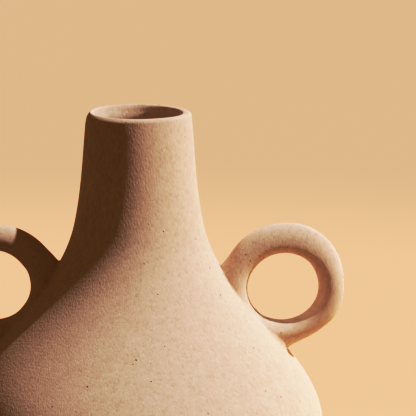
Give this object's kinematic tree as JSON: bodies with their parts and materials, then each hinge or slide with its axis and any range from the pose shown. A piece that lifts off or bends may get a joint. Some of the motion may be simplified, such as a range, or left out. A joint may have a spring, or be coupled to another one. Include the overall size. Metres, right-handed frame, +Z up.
{
  "type": "two-handled bulbous stoneware vase",
  "caption": "Bulbous unglazed stoneware vase with a tall tapering neck, open rounded lip, upright ring handles on the shoulder and a turned foot ring.",
  "frame": {"origin": "centre of the foot ring, on the ground", "axes": "+Z up along the vase's axis; the ring handles stand in the X-Z plane; +Y is across them"},
  "size_m": [0.236, 0.214, 0.2603],
  "materials": {
    "clay": "unglazed sandy stoneware, fine matte grain with small pinholes",
    "slip": "fired slip of the same clay, matte",
    "glaze": "thin clear liner glaze over the clay, satin"
  },
  "bodies": {
    "root": {"bowl": "clay", "belly_seam_slip": "slip", "shoulder": "clay", "neck_seam_slip": "slip", "neck": "clay", "inner_glaze": "glaze", "right_handle": "clay", "right_handle_slip": "slip", "left_handle": "clay", "left_handle_slip": "slip"}
  },
  "joints": []
}
